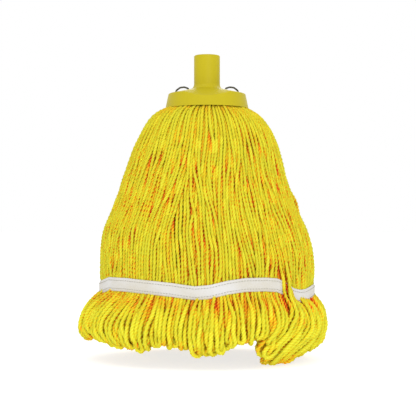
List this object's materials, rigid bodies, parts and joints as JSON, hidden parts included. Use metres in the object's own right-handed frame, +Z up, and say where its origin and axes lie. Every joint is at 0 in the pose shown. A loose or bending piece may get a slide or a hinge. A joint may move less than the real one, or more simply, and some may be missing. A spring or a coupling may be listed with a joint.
{
  "type": "string mop head",
  "caption": "String mop head: moulded socket with a flared collar, looped yarn hanks hanging in a full skirt, and a woven tail band stitched round them.",
  "frame": {"origin": "on the floor, at the centre of the footprint, under the socket's axis", "axes": "+Z up along the handle socket's axis; +X to the right seen from the front; the front faces -Y"},
  "size_m": [0.286, 0.202, 0.3505],
  "materials": {
    "socket_plastic": "moulded polypropylene, satin gloss",
    "galvanised_wire": "dull galvanised",
    "yarn": "twisted microfibre yarn",
    "band_tape": "woven tape",
    "stitch_thread": "polyester thread"
  },
  "bodies": {
    "socket": {"handle_socket": "socket_plastic", "retaining_wire_left": "galvanised_wire", "retaining_wire_right": "galvanised_wire", "folded_yarn_heads": "yarn"},
    "neck": {"yarn_neck": "yarn"},
    "skirt": {"outer_yarn_hank_01": "yarn", "outer_yarn_hank_02": "yarn", "outer_yarn_hank_03": "yarn", "outer_yarn_hank_04": "yarn", "outer_yarn_hank_05": "yarn", "outer_yarn_hank_06": "yarn", "outer_yarn_hank_07": "yarn", "outer_yarn_hank_08": "yarn", "outer_yarn_hank_09": "yarn", "outer_yarn_hank_10": "yarn", "outer_yarn_hank_11": "yarn", "outer_yarn_hank_12": "yarn", "outer_yarn_hank_13": "yarn", "outer_yarn_hank_14": "yarn", "outer_yarn_hank_15": "yarn", "outer_yarn_hank_16": "yarn", "outer_yarn_hank_17": "yarn", "outer_yarn_hank_18": "yarn", "outer_yarn_hank_19": "yarn", "outer_yarn_hank_20": "yarn", "outer_yarn_hank_21": "yarn", "outer_yarn_hank_22": "yarn", "outer_yarn_hank_23": "yarn", "outer_yarn_hank_24": "yarn", "inner_yarn_hank_01": "yarn", "inner_yarn_hank_02": "yarn", "inner_yarn_hank_03": "yarn", "inner_yarn_hank_04": "yarn", "inner_yarn_hank_05": "yarn", "inner_yarn_hank_06": "yarn", "inner_yarn_hank_07": "yarn", "inner_yarn_hank_08": "yarn", "inner_yarn_hank_09": "yarn", "inner_yarn_hank_10": "yarn", "inner_yarn_hank_11": "yarn", "inner_yarn_hank_12": "yarn", "tail_band": "band_tape", "band_stitching_upper": "stitch_thread", "band_stitching_lower": "stitch_thread", "tail_band_lap": "band_tape"}
  },
  "joints": [
    {"name": "yarn_twist", "type": "hinge", "parent": "socket", "child": "neck", "pos_m": [0, 0, 0.2973], "axis": [0, 0, 1], "range_deg": [-30, 30], "stiffness_Nm_per_rad": 0.4},
    {"name": "yarn_bend", "type": "hinge", "parent": "neck", "child": "skirt", "pos_m": [0, 0, 0.2895], "axis": [1, 0, 0], "range_deg": [-18, 18], "stiffness_Nm_per_rad": 1.5}
  ]
}
